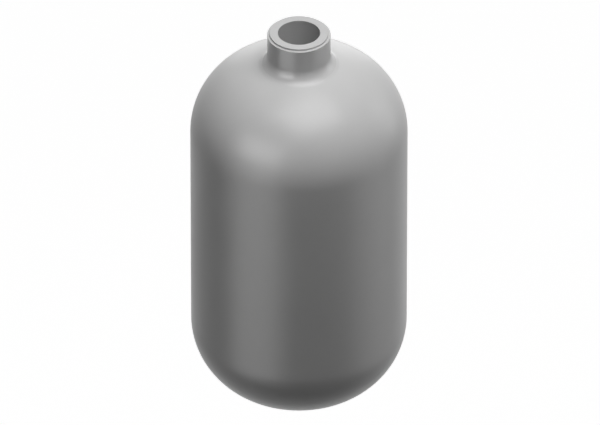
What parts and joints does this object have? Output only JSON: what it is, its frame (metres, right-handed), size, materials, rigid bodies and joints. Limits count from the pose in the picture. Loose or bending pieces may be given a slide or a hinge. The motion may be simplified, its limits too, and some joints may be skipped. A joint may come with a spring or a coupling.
{
  "type": "expansion tank",
  "caption": "Small upright diaphragm expansion tank: steel cylinder with dished ends, short port neck with raised sealing face, charging valve below.",
  "frame": {"origin": "centre of the raised sealing face on the port neck, on the tank's axis", "axes": "+Z along the tank's axis, out of the port; the tank hangs below the origin"},
  "size_m": [0.125, 0.125, 0.2618],
  "materials": {
    "shell_finish": "smooth satin grey enamel",
    "neck_finish": "smooth satin grey over turned steel",
    "black_rubber": "moulded matt rubber",
    "washer_rubber": "dark seal rubber",
    "liner_plastic": "natural moulded plastic",
    "band_steel": "rolled steel strip",
    "boss_steel": "turned steel",
    "valve_brass": "turned brass",
    "pin_steel": "drawn steel wire",
    "cap_plastic": "moulded black plastic"
  },
  "bodies": {
    "tank": {"upper_shell": "shell_finish", "lower_shell": "shell_finish", "port_neck": "neck_finish", "port_seal_ring": "black_rubber", "water_liner": "liner_plastic", "diaphragm": "black_rubber", "clamp_ring": "band_steel", "backing_hoop": "band_steel", "valve_boss": "boss_steel", "valve_washer": "washer_rubber", "valve_body": "valve_brass", "core_plug": "valve_brass", "core_barrel": "valve_brass", "core_barrel_gasket": "washer_rubber", "core_spring": "pin_steel"},
    "valve_pin": {"core_pin": "pin_steel", "core_cup": "valve_brass", "core_cup_gasket": "washer_rubber"},
    "cap": {"valve_cap": "cap_plastic", "cap_gasket": "washer_rubber"}
  },
  "joints": [
    {"name": "pin_push", "type": "slide", "parent": "tank", "child": "valve_pin", "axis": [0, 0, 1], "range_m": [0, 0.001], "stiffness_N_per_m": 600, "springref_m": -0.003, "deforming": ["core_spring"]},
    {"name": "cap_off", "type": "slide", "parent": "tank", "child": "cap", "axis": [0, 0, -1], "range_m": [0, 0.015]}
  ]
}
